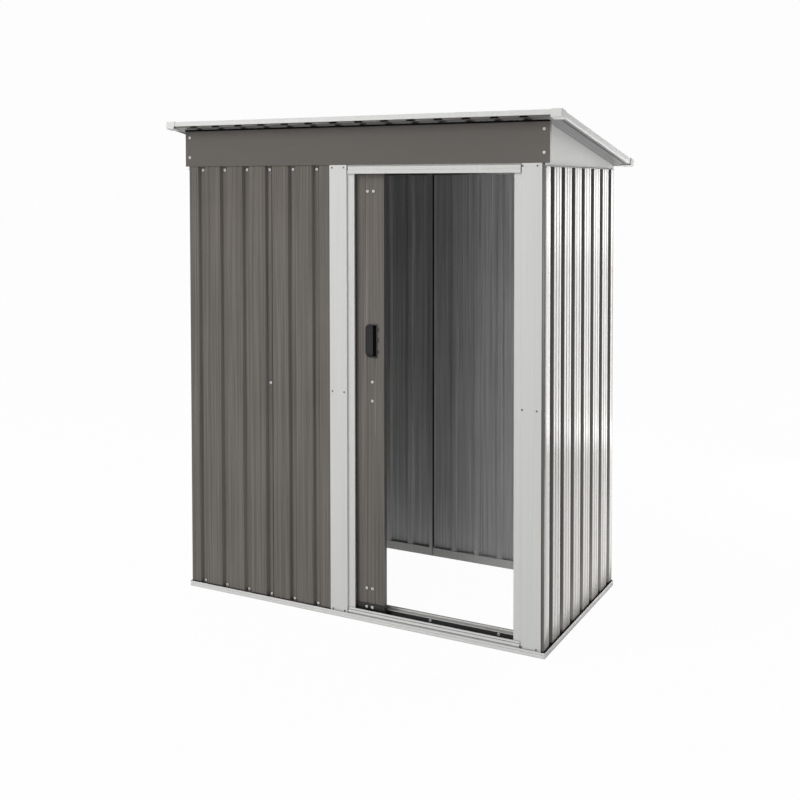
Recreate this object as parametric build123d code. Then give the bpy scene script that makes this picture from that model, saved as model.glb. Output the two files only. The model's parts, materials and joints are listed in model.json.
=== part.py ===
from build123d import *
import math
import os

# Metal tool shed with a lean-to roof and one sliding door, in millimetres.
# +X is the shed's width to the right, +Y runs from the door to the rear wall, +Z is up.
# The origin is on the ground, under the middle of the roof's outline.

# Overall sizes, as printed beside the shed
BASE_WIDTH = 1500.0
BASE_DEPTH = 760.0
FRONT_HEIGHT = 1840.0
REAR_HEIGHT = 1690.0

# Roof overhang beyond the base, to the outside of the corner caps
SIDE_OVERHANG = 70.0
FRONT_OVERHANG = 40.0
REAR_OVERHANG = 16.0

# Sheet metal
SHEET = 0.8
OVERRUN = 5.0

# Ribbed sheets, used on the walls and on the roof
RIB_PITCH = 105.5
RIB_OPENING = 34.0
RIB_FLOOR = 20.0
RIB_DEPTH = 11.0
RIB_BEND = 3.0
LAP_RELIEF = 2.5
CREASE_WIDTH = 8.0
CREASE_DEPTH = 1.2
CREASE_SPACING = 28.0
EDGE_FLAT = 20.0
WALL_INSET = 5.5
SIDE_RIB_SHIFT = 10.0
CORNER_RETURN = 20.0
# Sheets side by side in each wall and in the roof
FRONT_SHEET_COUNT = 2
SIDE_SHEET_COUNT = 2
REAR_SHEET_COUNT = 4
ROOF_SHEET_COUNT = 3

# Tops of the walls, below the underside of the roof
WALL_TOP_GAP = 2.0
FASCIA_LEAST = 30.0
FRONT_SHEET_RISE = 7.0
FASCIA_LAP = 1.0
FASCIA_OVERHANG = 11.5
FASCIA_RETURN = 14.0
FASCIA_FLANGE = 18.0

# Floor rails, channels that the wall sheets stand in
FLOOR_LIP = 20.0
FLOOR_FLANGE = 35.0
LIP_ROLL_HEIGHT = 11.0
LIP_ROLL_DEPTH = 2.2

# Doorway
DOORWAY_WIDTH = 627.0
DOORWAY_FROM_EDGE = 118.0
POST_FACE = 73.0
POST_STRIP = 27.0
POST_SLANT = 2.0
POST_STEP = 6.0
POST_LAP = 15.0
HEADER_BAND = 12.0
HEADER_SLANT = 2.0
HEADER_MIDDLE_SETBACK = 6.9
HEADER_LOWER_SETBACK = 4.0
SILL_TOP = 40.0
SILL_SHOULDER = 30.0
SILL_SLANT = 2.0
SILL_STEP = 3.0
TRIM_CLEARANCE = 0.3
END_CLEARANCE = 2.0

# Door tracks, channels that the door's glides run in
TRACK_WIDTH = 31.1
TRACK_LEDGE = 38.0
TRACK_LEDGE_STEP = 5.0
TRACK_LEDGE_WIDTH = 26.0
UPPER_TRACK_REAR = 30.0

# Rails along the tops of the walls
TOP_RAIL_DROP = 30.0
TOP_RAIL_WIDTH = 20.0

# Gables
GABLE_LAP = 10.0
GABLE_FLANGE = 22.0
GABLE_LIP = 6.0
GABLE_LIP_DROP = 3.0
GABLE_FRONT_FLANGE = 10.0
GABLE_REAR_GAP = 8.0

# Roof edge trims and corner caps
TRIM_HEIGHT = 24.0
TRIM_TOP = 24.0
TRIM_FLANGE = 12.0
TRIM_STEP = 4.0
TRIM_STEP_DROP = 18.0
ROOF_EDGE_GAP = 2.0
CAP_SIZE = 40.0
CAP_WALL = 2.0

# Sliding door, stored where the door is parked open
DOOR_WIDTH = 676.0
DOOR_PARKED_SHOW = 115.0
DOOR_SETBACK = 26.0
DOOR_DEPTH = 18.0
DOOR_BOTTOM = 22.0
DOOR_TOP_GAP = 17.0
DOOR_CREASE_SPACING = 33.0
STILE_WIDTH = 24.0
DOOR_CHANNEL = 26.0
HANDLE_WIDTH = 50.0
HANDLE_HEIGHT = 122.0
HANDLE_CENTRE_HEIGHT = 1026.0
HANDLE_FROM_EDGE = 28.0
HANDLE_RADIUS = 20.0
HANDLE_RIM = 2.5
HANDLE_PROUD = 1.2
HANDLE_DEPTH = 12.0
HANDLE_WALL = 1.5
GLIDE_LENGTH = 45.0
GLIDE_WIDTH = 20.0
GLIDE_FROM_EDGE = 83.0
GLIDE_RADIUS = 6.0
GLIDE_RISE = 10.0
GLIDE_FIT = 0.3

# Places that follow from the sizes above
LEFT = -BASE_WIDTH / 2
RIGHT = BASE_WIDTH / 2
BASE_Y = (FRONT_OVERHANG - REAR_OVERHANG) / 2
FRONT = BASE_Y - BASE_DEPTH / 2
REAR = BASE_Y + BASE_DEPTH / 2
# Depth from the base's edge to the flanges that the wall sheets are fixed to
WALL_BACK = WALL_INSET + RIB_DEPTH + 2 * SHEET
INNER_HALF_WIDTH = RIGHT - WALL_BACK - SHEET
DOORWAY_RIGHT = RIGHT - DOORWAY_FROM_EDGE
DOORWAY_LEFT = DOORWAY_RIGHT - DOORWAY_WIDTH
POST_FRONT = FRONT + WALL_INSET - SHEET
STRIP_FRONT = POST_FRONT + POST_STEP

# The roof's own frame: origin at the front edge of the trims, Y down the slope, Z off the roof
ROOF_FRONT = FRONT - FRONT_OVERHANG
ROOF_RUN = BASE_DEPTH + FRONT_OVERHANG + REAR_OVERHANG
ROOF_SLOPE = math.atan2(FRONT_HEIGHT - REAR_HEIGHT, ROOF_RUN)
ROOF_LENGTH = math.hypot(FRONT_HEIGHT - REAR_HEIGHT, ROOF_RUN)
ROOF_HALF_WIDTH = RIGHT + SIDE_OVERHANG
ROOF = Plane(
    origin=(0, ROOF_FRONT, FRONT_HEIGHT),
    x_dir=(1, 0, 0),
    z_dir=(0, math.sin(ROOF_SLOPE), math.cos(ROOF_SLOPE)),
)
# Depth of the trims' top and of the roof sheets' underside below the caps' top
TRIM_DROP = CAP_WALL
PAN_DROP = TRIM_DROP + TRIM_HEIGHT - SHEET


def roof_underside(y):
    """Height of the roof sheets' underside at a place between front and rear."""
    return FRONT_HEIGHT - (y - ROOF_FRONT) * math.tan(ROOF_SLOPE) - PAN_DROP / math.cos(ROOF_SLOPE)


# Tops of the walls: as high as the roof allows at the rear, and clear of a fascia in front
WALL_TOP = min(roof_underside(REAR) - WALL_TOP_GAP, roof_underside(FRONT) - FASCIA_LEAST)
FRONT_SHEET_TOP = WALL_TOP + FRONT_SHEET_RISE
FASCIA_BOTTOM = WALL_TOP - FASCIA_LAP
FASCIA_HALF_WIDTH = RIGHT + FASCIA_OVERHANG
HEADER_SETBACKS = (HEADER_MIDDLE_SETBACK, HEADER_LOWER_SETBACK)
HEADER_HEIGHT = HEADER_BAND + (HEADER_BAND + HEADER_SLANT) * len(HEADER_SETBACKS)
HEADER_BOTTOM = FRONT_SHEET_TOP - HEADER_HEIGHT
DOOR_TOP = FRONT_SHEET_TOP - DOOR_TOP_GAP


def folded(path):
    """Cross-section of a sharply folded sheet: the path, thickened by one sheet to its left."""
    near = [Vector(*point) for point in path]
    runs = [(end - start).normalized() for start, end in zip(near, near[1:])]
    normals = [Vector(-run.Y, run.X) for run in runs]
    far = [near[0] + normals[0] * SHEET]
    for corner, before, after in zip(near[1:], normals, normals[1:]):
        far.append(corner + (before + after) * (SHEET / (1 + before.dot(after))))
    far.append(near[-1] + normals[-1] * SHEET)
    return make_face(Polyline(*near, *reversed(far), close=True))


def rolled(path, bend):
    """Cross-section of a roll-formed sheet: like folded, with every bend rounded inside by one radius."""
    points = [Vector(*point) for point in path]
    runs = [(end - start).normalized() for start, end in zip(points, points[1:])]
    normals = [Vector(-run.Y, run.X) for run in runs]
    sides = []
    for offset in (0, SHEET):
        edges = []
        last = points[0] + normals[0] * offset
        for corner, run, after, normal, normal_after in zip(points[1:], runs, runs[1:], normals, normals[1:]):
            turn = 1 if run.cross(after).Z > 0 else -1
            radius = bend + SHEET if turn > 0 else bend
            reach = radius * math.tan(math.acos(min(run.dot(after), 1)) / 2)
            centre = corner - run * reach + normal * turn * radius
            own_radius = radius - turn * offset
            start = centre - normal * turn * own_radius
            middle = centre - (normal + normal_after).normalized() * turn * own_radius
            end = centre - normal_after * turn * own_radius
            edges += [Line(last, start), ThreePointArc(start, middle, end)]
            last = end
        edges.append(Line(last, points[-1] + normals[-1] * offset))
        sides.append(edges)
    near, far = sides
    return make_face(near + far + [Line(near[0] @ 0, far[0] @ 0), Line(near[-1] @ 1, far[-1] @ 1)])


def upright(section, bottom, top):
    """A plan section raised from one height to another."""
    return extrude(Pos(0, 0, bottom) * section, amount=top - bottom)


def across(section, left, right):
    """A side section, drawn as depth and height, run across the width."""
    return extrude(Plane.YZ.offset(left) * section, amount=right - left)


def box(x0, x1, y0, y1, z0, z1):
    """A block between two corners."""
    return Pos(x0, y0, z0) * Box(x1 - x0, y1 - y0, z1 - z0, align=(Align.MIN, Align.MIN, Align.MIN))


def frame_bar(section, length):
    """A bar of a rectangular frame, its outer edge on the X axis, mitred at both ends."""
    bar = across(section, -length / 2, length / 2)
    extent = bar.bounding_box()
    depth = extent.max.Y
    half = length / 2
    plan = Polyline((-half, 0), (half, 0), (half - depth, depth), (depth - half, depth), close=True)
    return bar & upright(make_face(plan), extent.min.Z - OVERRUN, extent.max.Z + OVERRUN)


def rib_places(width):
    """Rib centres, evenly spaced about the middle of a wall, as many as leave a flat at each edge."""
    count = 1 + int((width - RIB_OPENING - 2 * EDGE_FLAT) / RIB_PITCH)
    return [(index - (count - 1) / 2) * RIB_PITCH for index in range(count)]


def rib(centre):
    """One rib's outline: down one flank, along its floor and up the other flank."""
    return [
        (centre - RIB_OPENING / 2, 0),
        (centre - RIB_FLOOR / 2, RIB_DEPTH),
        (centre + RIB_FLOOR / 2, RIB_DEPTH),
        (centre + RIB_OPENING / 2, 0),
    ]


def creases(middle, spacing):
    """Two shallow creases that stiffen a flat."""
    path = []
    for centre in (middle - spacing / 2, middle + spacing / 2):
        path += [(centre - CREASE_WIDTH / 2, 0), (centre, CREASE_DEPTH), (centre + CREASE_WIDTH / 2, 0)]
    return path


def lap_over(centre):
    """The end of a sheet that lies outside in the shared rib."""
    return rib(centre)[:2] + [(centre + RIB_FLOOR / 2 - LAP_RELIEF, RIB_DEPTH)]


def lap_under(centre):
    """The start of a sheet that lies one sheet deeper in the shared rib."""
    depth = RIB_DEPTH + SHEET
    return [(centre - RIB_FLOOR / 2 + LAP_RELIEF, depth), (centre + RIB_FLOOR / 2, depth), rib(centre)[-1]]


def ribbed(start, centres, end):
    """Section of a ribbed sheet: its start, its whole ribs with creases between them, and its end."""
    flat = RIB_PITCH - RIB_OPENING
    path = list(start)
    for centre in centres:
        rim = centre - RIB_OPENING / 2
        if rim - path[-1][0] > flat - LAP_RELIEF:
            path += creases(rim - flat / 2, CREASE_SPACING)
        path += rib(centre)
    if end[0][0] - path[-1][0] > flat - LAP_RELIEF:
        path += creases(path[-1][0] + flat / 2, CREASE_SPACING)
    return rolled(path + list(end), RIB_BEND)


def lapped(start, centres, end, sheets):
    """Sections of the sheets that make one surface, each lapping the one before it in a rib."""
    laps = [centres[len(centres) * number // sheets] for number in range(1, sheets)]
    starts = [start] + [lap_under(lap) for lap in laps]
    ends = [lap_over(lap) for lap in laps] + [end]
    sections = []
    for first, last in zip(starts, ends):
        own_ribs = [centre for centre in centres if first[-1][0] < centre < last[0][0]]
        sections.append(ribbed(first, own_ribs, last))
    return sections


def wall(section, x, y, turn, top):
    """A wall sheet stood in the floor rails: its section's Y axis points into the shed."""
    return Pos(x, y, 0) * Rot(0, 0, turn) * upright(section, SHEET, top)


parts = {}

# Floor rails: an outer lip with a rolled bead, a web on the ground and a taller inner flange
floor_section = folded(
    [
        (WALL_BACK, FLOOR_FLANGE),
        (WALL_BACK, SHEET),
        (SHEET, SHEET),
        (SHEET, LIP_ROLL_HEIGHT - LIP_ROLL_DEPTH),
        (SHEET + LIP_ROLL_DEPTH, LIP_ROLL_HEIGHT),
        (SHEET, LIP_ROLL_HEIGHT + LIP_ROLL_DEPTH),
        (SHEET, FLOOR_LIP),
    ]
)
long_rail = frame_bar(floor_section, BASE_WIDTH)
short_rail = frame_bar(floor_section, BASE_DEPTH)
parts["front_floor_rail"] = Pos(0, FRONT, 0) * long_rail
parts["rear_floor_rail"] = Pos(0, REAR, 0) * Rot(0, 0, 180) * long_rail
parts["left_floor_rail"] = Pos(LEFT, BASE_Y, 0) * Rot(0, 0, -90) * short_rail
parts["right_floor_rail"] = Pos(RIGHT, BASE_Y, 0) * Rot(0, 0, 90) * short_rail

# Front and rear walls: sheets that lap in a rib and end flush with the side walls
sheet_end = RIGHT - WALL_INSET
back_ribs = rib_places(2 * sheet_end)
post_edge = DOORWAY_LEFT - POST_STRIP - POST_SLANT - POST_FACE
front_ribs = [centre for centre in back_ribs if centre + RIB_OPENING / 2 < post_edge]
front_sections = lapped([(-sheet_end, 0)], front_ribs, [(post_edge + POST_LAP, 0)], FRONT_SHEET_COUNT)
for number, section in enumerate(front_sections, 1):
    parts["front_wall_sheet_" + str(number)] = wall(section, 0, FRONT + WALL_INSET, 0, FRONT_SHEET_TOP)
back_sections = lapped([(-sheet_end, 0)], back_ribs, [(sheet_end, 0)], REAR_SHEET_COUNT)
for number, section in enumerate(back_sections, 1):
    parts["rear_wall_sheet_" + str(number)] = wall(section, 0, REAR - WALL_INSET, 180, WALL_TOP)

# Side walls: a return at each end, which the front and rear walls cover
side_end = BASE_DEPTH / 2 - WALL_INSET - SHEET
side_places = rib_places(2 * (side_end - SIDE_RIB_SHIFT))
side_start = [(-side_end, CORNER_RETURN), (-side_end, 0)]
side_finish = [(side_end, 0), (side_end, CORNER_RETURN)]
for side, x, turn, shift in (
    ("left", LEFT + WALL_INSET, -90, -SIDE_RIB_SHIFT),
    ("right", RIGHT - WALL_INSET, 90, SIDE_RIB_SHIFT),
):
    side_ribs = [place + shift for place in side_places]
    side_sections = lapped(side_start, side_ribs, side_finish, SIDE_SHEET_COUNT)
    for number, section in enumerate(side_sections, 1):
        parts[side + "_wall_sheet_" + str(number)] = wall(section, x, BASE_Y, turn, WALL_TOP)

# Door posts: a broad face, a set-back strip and a return towards the door
post_section = folded(
    [
        (-POST_STRIP - POST_FACE - POST_SLANT, POST_FRONT),
        (-POST_STRIP - POST_SLANT, POST_FRONT),
        (-POST_STRIP, STRIP_FRONT),
        (0, STRIP_FRONT),
        (0, FRONT + WALL_BACK),
    ]
)
post = upright(post_section, SHEET, FRONT_SHEET_TOP)
parts["left_door_post"] = Pos(DOORWAY_LEFT, 0, 0) * post
parts["right_door_post"] = Pos(DOORWAY_RIGHT, 0, 0) * mirror(post, about=Plane.YZ)

# Header over the doorway: three bands, each further forward than the one above
trim_left = DOORWAY_LEFT - POST_STRIP + END_CLEARANCE
trim_right = DOORWAY_RIGHT + POST_STRIP - END_CLEARANCE
header_back = STRIP_FRONT - SHEET
header_path = [(header_back, FRONT_SHEET_TOP)]
band_end = FRONT_SHEET_TOP - HEADER_BAND
for setback in HEADER_SETBACKS:
    band_y = header_path[-1][0]
    header_path += [(band_y, band_end), (FRONT + setback, band_end - HEADER_SLANT)]
    band_end -= HEADER_BAND + HEADER_SLANT
header_path += [(header_path[-1][0], HEADER_BOTTOM), (header_back, HEADER_BOTTOM)]
parts["door_header"] = across(folded(header_path), trim_left, trim_right)

# Sill: a stepped lip that stands in the front floor rail, between the posts
sill_front = FRONT + SHEET + LIP_ROLL_DEPTH + SHEET
sill_path = [
    (STRIP_FRONT - TRIM_CLEARANCE, SILL_TOP),
    (sill_front + SILL_STEP, SILL_TOP),
    (sill_front + SILL_STEP, SILL_SHOULDER + SILL_SLANT),
    (sill_front, SILL_SHOULDER),
    (sill_front, SHEET),
]
parts["door_sill"] = across(folded(sill_path), trim_left, trim_right)

# Bottom track: a channel for the door's glides and two ledges behind it
track_front = FRONT + WALL_BACK + SHEET
track_rear = track_front + TRACK_WIDTH
ledge_middle = track_rear + TRACK_LEDGE_WIDTH
ledge_rear = ledge_middle + TRACK_LEDGE_WIDTH
lower_ledge = TRACK_LEDGE - TRACK_LEDGE_STEP
track_path = [
    (track_front, FLOOR_FLANGE),
    (track_front, 0),
    (track_rear, 0),
    (track_rear, TRACK_LEDGE),
    (ledge_middle, TRACK_LEDGE),
    (ledge_middle, lower_ledge),
    (ledge_rear, lower_ledge),
    (ledge_rear, 0),
]
parts["bottom_door_track"] = across(folded(track_path), -INNER_HALF_WIDTH, INNER_HALF_WIDTH)

# Upper track: a channel open downwards, fixed behind the front wall's top
upper_front = FRONT + WALL_BACK
upper_rear = upper_front + SHEET + TRACK_WIDTH + SHEET
upper_path = [
    (upper_rear, FRONT_SHEET_TOP - UPPER_TRACK_REAR),
    (upper_rear, FRONT_SHEET_TOP),
    (upper_front, FRONT_SHEET_TOP),
    (upper_front, HEADER_BOTTOM),
]
parts["upper_door_track"] = across(folded(upper_path), -INNER_HALF_WIDTH, INNER_HALF_WIDTH)

# Top rails: angles along the tops of the side walls, and a rear one that meets the roof
rear_rail_y = REAR - WALL_BACK
rear_rail_inner = rear_rail_y - TOP_RAIL_WIDTH
rear_rail_half = RIGHT - WALL_INSET - GABLE_FLANGE - END_CLEARANCE
rear_rail_path = [
    (rear_rail_y, WALL_TOP - TOP_RAIL_DROP),
    (rear_rail_y, roof_underside(rear_rail_y)),
    (rear_rail_inner, roof_underside(rear_rail_inner)),
]
parts["rear_top_rail"] = across(folded(rear_rail_path), -rear_rail_half, rear_rail_half)
side_rail_x = RIGHT - WALL_BACK
side_rail_path = [
    (side_rail_x, WALL_TOP - TOP_RAIL_DROP),
    (side_rail_x, WALL_TOP),
    (side_rail_x - TOP_RAIL_WIDTH, WALL_TOP),
]
side_rail_end = rear_rail_y - SHEET
side_rail_length = side_rail_end - upper_rear
side_rail = Pos(0, side_rail_end, 0) * extrude(Plane.XZ * folded(side_rail_path), amount=side_rail_length)
parts["right_top_rail"] = side_rail
parts["left_top_rail"] = mirror(side_rail, about=Plane.YZ)

# Fascia: a plain board of sheet over the doorway, its ends turned back and its top under the roof
fascia_back = POST_FRONT
fascia_front = fascia_back - SHEET
fascia_plan = folded(
    [
        (-FASCIA_HALF_WIDTH, fascia_front + FASCIA_RETURN),
        (-FASCIA_HALF_WIDTH, fascia_front),
        (FASCIA_HALF_WIDTH, fascia_front),
        (FASCIA_HALF_WIDTH, fascia_front + FASCIA_RETURN),
    ]
)
fascia_side = make_face(
    Polyline(
        (fascia_front, FASCIA_BOTTOM),
        (fascia_front + FASCIA_RETURN, FASCIA_BOTTOM),
        (fascia_front + FASCIA_RETURN, roof_underside(fascia_front + FASCIA_RETURN)),
        (fascia_front, roof_underside(fascia_front)),
        close=True,
    )
)
fascia_board = upright(fascia_plan, FASCIA_BOTTOM, FRONT_HEIGHT)
fascia_board &= across(fascia_side, -FASCIA_HALF_WIDTH, FASCIA_HALF_WIDTH)
flange_half = RIGHT - WALL_INSET - GABLE_FLANGE - END_CLEARANCE
flange_rear = fascia_back + FASCIA_FLANGE
fascia_flange = across(
    folded(
        [
            (fascia_front, roof_underside(fascia_front) - SHEET / math.cos(ROOF_SLOPE)),
            (flange_rear, roof_underside(flange_rear) - SHEET / math.cos(ROOF_SLOPE)),
        ]
    ),
    -flange_half,
    flange_half,
)
fascia_flange &= box(-flange_half, flange_half, fascia_front, flange_rear, FASCIA_BOTTOM, FRONT_HEIGHT)
parts["front_fascia"] = fascia_board + fascia_flange

# Gables: triangular sheets over the side walls, with a drip lip below and flanges inside
gable_bottom = WALL_TOP - GABLE_LAP
gable_front = fascia_back
gable_rear = REAR - GABLE_REAR_GAP
gable_inner = RIGHT - WALL_INSET
gable_side = make_face(
    Polyline(
        (gable_front, gable_bottom),
        (gable_rear, gable_bottom),
        (gable_rear, roof_underside(gable_rear)),
        (gable_front, roof_underside(gable_front)),
        close=True,
    )
)
gable_plate = across(gable_side, gable_inner, gable_inner + SHEET)
gable_lip = Pos(0, gable_rear, 0) * extrude(
    Plane.XZ
    * folded(
        [
            (gable_inner, gable_bottom),
            (gable_inner + SHEET, gable_bottom),
            (gable_inner + SHEET + GABLE_LIP, gable_bottom - GABLE_LIP_DROP),
        ]
    ),
    amount=gable_rear - gable_front,
)
gable_shelf = across(gable_side, gable_inner - GABLE_FLANGE, gable_inner)
gable_shelf -= Pos(0, 0, -SHEET / math.cos(ROOF_SLOPE)) * gable_shelf
gable_shelf &= box(
    gable_inner - GABLE_FLANGE, gable_inner, fascia_back, gable_rear, WALL_TOP + SHEET, FRONT_HEIGHT
)
gable_tab = across(gable_side, gable_inner - GABLE_FRONT_FLANGE, gable_inner) & box(
    gable_inner - GABLE_FRONT_FLANGE,
    gable_inner,
    gable_front,
    gable_front + SHEET,
    FRONT_SHEET_TOP + END_CLEARANCE,
    FRONT_HEIGHT,
)
gable = gable_plate + gable_lip + gable_shelf + gable_tab
parts["right_gable"] = gable
parts["left_gable"] = mirror(gable, about=Plane.YZ)

# Roof sheets: three ribbed sheets that lap on a rib, lying in the edge trims
trim_inset = CAP_WALL
sheet_edge = ROOF_HALF_WIDTH - trim_inset - TRIM_STEP - SHEET - ROOF_EDGE_GAP
roof_sections = lapped([(-sheet_edge, 0)], back_ribs, [(sheet_edge, 0)], ROOF_SHEET_COUNT)
roof_sheet_start = trim_inset + TRIM_STEP + SHEET + ROOF_EDGE_GAP
roof_sheet_length = ROOF_LENGTH - 2 * roof_sheet_start
for number, section in enumerate(roof_sections, 1):
    sheet = extrude(Plane.XZ * section, amount=-roof_sheet_length)
    parts["roof_sheet_" + str(number)] = ROOF * Pos(0, roof_sheet_start, -PAN_DROP) * sheet

# Roof edge trims: channels with a stepped face, mitred at the corners
trim_section = folded(
    [
        (TRIM_TOP, 0),
        (0, 0),
        (0, -TRIM_STEP_DROP),
        (TRIM_STEP, -TRIM_STEP_DROP - TRIM_STEP),
        (TRIM_STEP, -TRIM_HEIGHT),
        (TRIM_STEP + TRIM_FLANGE, -TRIM_HEIGHT),
    ]
)
trim_width = 2 * (ROOF_HALF_WIDTH - trim_inset)
trim_length = ROOF_LENGTH - 2 * trim_inset
wide_trim = frame_bar(trim_section, trim_width)
slope_trim = frame_bar(trim_section, trim_length)
roof_middle = ROOF_LENGTH / 2
trim_places = {
    "roof_front_trim": (wide_trim, 0, trim_inset, 0),
    "roof_rear_trim": (wide_trim, 0, ROOF_LENGTH - trim_inset, 180),
    "roof_left_trim": (slope_trim, trim_inset - ROOF_HALF_WIDTH, roof_middle, -90),
    "roof_right_trim": (slope_trim, ROOF_HALF_WIDTH - trim_inset, roof_middle, 90),
}
for name, (trim, x, y, turn) in trim_places.items():
    parts[name] = ROOF * Pos(x, y, -TRIM_DROP) * Rot(0, 0, turn) * trim

# Corner caps: moulded covers over the mitres, open towards the roof
cap_height = TRIM_HEIGHT + 2 * CAP_WALL
cap_block = box(0, CAP_SIZE, 0, CAP_SIZE, -cap_height, 0)
cap_corner = cap_block.edges().filter_by(Axis.Z).sort_by(lambda edge: edge.center().X + edge.center().Y)[0]
cap_block = fillet(cap_corner, CAP_WALL)
cap = cap_block - box(
    CAP_WALL, CAP_SIZE + OVERRUN, CAP_WALL, CAP_SIZE + OVERRUN, CAP_WALL - cap_height, -CAP_WALL
)
cap_places = {
    "roof_front_left_cap": (-ROOF_HALF_WIDTH, 0, 0),
    "roof_front_right_cap": (ROOF_HALF_WIDTH, 0, 90),
    "roof_rear_right_cap": (ROOF_HALF_WIDTH, ROOF_LENGTH, 180),
    "roof_rear_left_cap": (-ROOF_HALF_WIDTH, ROOF_LENGTH, 270),
}
for name, (x, y, turn) in cap_places.items():
    parts[name] = ROOF * Pos(x, y, 0) * Rot(0, 0, turn) * cap

# Door: a creased sheet with its edges turned back, stiffened by channels all round
door_right = DOORWAY_LEFT + DOOR_PARKED_SHOW
door_left = door_right - DOOR_WIDTH
door_front = FRONT + DOOR_SETBACK
door_rear = door_front + DOOR_DEPTH
door_back = door_rear - SHEET
handle_middle = door_right - HANDLE_FROM_EDGE - HANDLE_WIDTH / 2
door_path = [(door_left, door_rear), (door_left, door_front)]
crease_pairs = 1 + int((handle_middle - DOOR_CREASE_SPACING - CREASE_WIDTH - door_left) / RIB_PITCH)
for pair in reversed(range(crease_pairs)):
    pair_middle = handle_middle - pair * RIB_PITCH
    for x, depth in creases(pair_middle, DOOR_CREASE_SPACING):
        door_path.append((x, door_front + depth))
door_path += [(door_right, door_front), (door_right, door_rear)]
door_sheet = upright(folded(door_path), DOOR_BOTTOM, DOOR_TOP)

# Recessed handle: a rimmed cup, rounded on the left, whose floor slopes in towards the door's edge
handle_frame = Plane(
    origin=(handle_middle, door_front, HANDLE_CENTRE_HEIGHT), x_dir=(1, 0, 0), z_dir=(0, -1, 0)
)


def handle_outline(inset):
    """The handle's outline, drawn in by an inset: square towards the door's edge, rounded away from it."""
    outline = Rectangle(HANDLE_WIDTH - 2 * inset, HANDLE_HEIGHT - 2 * inset)
    return fillet(outline.vertices().sort_by(Axis.X)[:2], HANDLE_RADIUS - inset)


rim = extrude(handle_outline(0), amount=HANDLE_PROUD)
cup = extrude(handle_outline(HANDLE_RIM), amount=-HANDLE_DEPTH)
pocket_outline = extrude(
    handle_outline(HANDLE_RIM + HANDLE_WALL), amount=HANDLE_DEPTH + HANDLE_PROUD + OVERRUN, both=True
)
pocket_half = HANDLE_WIDTH / 2 - HANDLE_RIM - HANDLE_WALL
pocket_floor = HANDLE_WALL - HANDLE_DEPTH
pocket_side = make_face(
    Polyline(
        (-pocket_half, HANDLE_PROUD + OVERRUN),
        (-pocket_half, 0),
        (0, pocket_floor),
        (pocket_half, pocket_floor),
        (pocket_half, HANDLE_PROUD + OVERRUN),
        close=True,
    )
)
pocket = extrude(Plane.XZ * pocket_side, amount=HANDLE_HEIGHT, both=True) & pocket_outline
parts["door_handle"] = handle_frame * ((rim + cup) - pocket)
handle_cut = extrude(handle_outline(HANDLE_RIM - TRIM_CLEARANCE), amount=DOOR_DEPTH / 2, both=True)
parts["door_sheet"] = door_sheet - handle_frame * handle_cut

# Door stiffeners: a channel along each side, and one across the top and the bottom
channel_front = door_front + CREASE_DEPTH + SHEET + TRIM_CLEARANCE
channel_bottom = DOOR_BOTTOM + DOOR_CHANNEL
channel_top = DOOR_TOP - DOOR_CHANNEL
stile_edge = door_right - SHEET
stile_section = folded(
    [
        (stile_edge - STILE_WIDTH, channel_front),
        (stile_edge, channel_front),
        (stile_edge, door_rear),
        (stile_edge - STILE_WIDTH, door_rear),
    ]
)
stile = upright(stile_section, channel_bottom, channel_top)
door_middle = (door_left + door_right) / 2
parts["door_leading_stile"] = stile
parts["door_trailing_stile"] = mirror(stile, about=Plane.YZ.offset(door_middle))
top_channel_path = [
    (channel_front, channel_top),
    (channel_front, DOOR_TOP),
    (door_rear, DOOR_TOP),
    (door_rear, channel_top),
]
bottom_channel_path = [
    (door_rear, channel_bottom),
    (door_rear, DOOR_BOTTOM),
    (channel_front, DOOR_BOTTOM),
    (channel_front, channel_bottom),
]
parts["door_top_channel"] = across(folded(top_channel_path[::-1]), door_left + SHEET, stile_edge)
parts["door_bottom_channel"] = across(folded(bottom_channel_path[::-1]), door_left + SHEET, stile_edge)

# Glides: two shoes that stand in the bottom track and two that run in the upper track
glide_middle = (door_front + door_rear) / 2
glide_plan = RectangleRounded(GLIDE_LENGTH, GLIDE_WIDTH, GLIDE_RADIUS)
glide_places = (door_left + GLIDE_FROM_EDGE, door_right - GLIDE_FROM_EDGE)
shoes = [upright(Pos(x, glide_middle) * glide_plan, SHEET + GLIDE_FIT, DOOR_BOTTOM) for x in glide_places]
guides = [upright(Pos(x, glide_middle) * glide_plan, DOOR_TOP, DOOR_TOP + GLIDE_RISE) for x in glide_places]
parts["door_bottom_glides"] = Compound(children=shoes)
parts["door_top_glides"] = Compound(children=guides)

os.makedirs("parts", exist_ok=True)
for name, shape in parts.items():
    export_step(shape, "parts/" + name + ".step")
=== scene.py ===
import json
import math

import bmesh
import bpy
from mathutils import Matrix, Vector, noise


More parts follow.
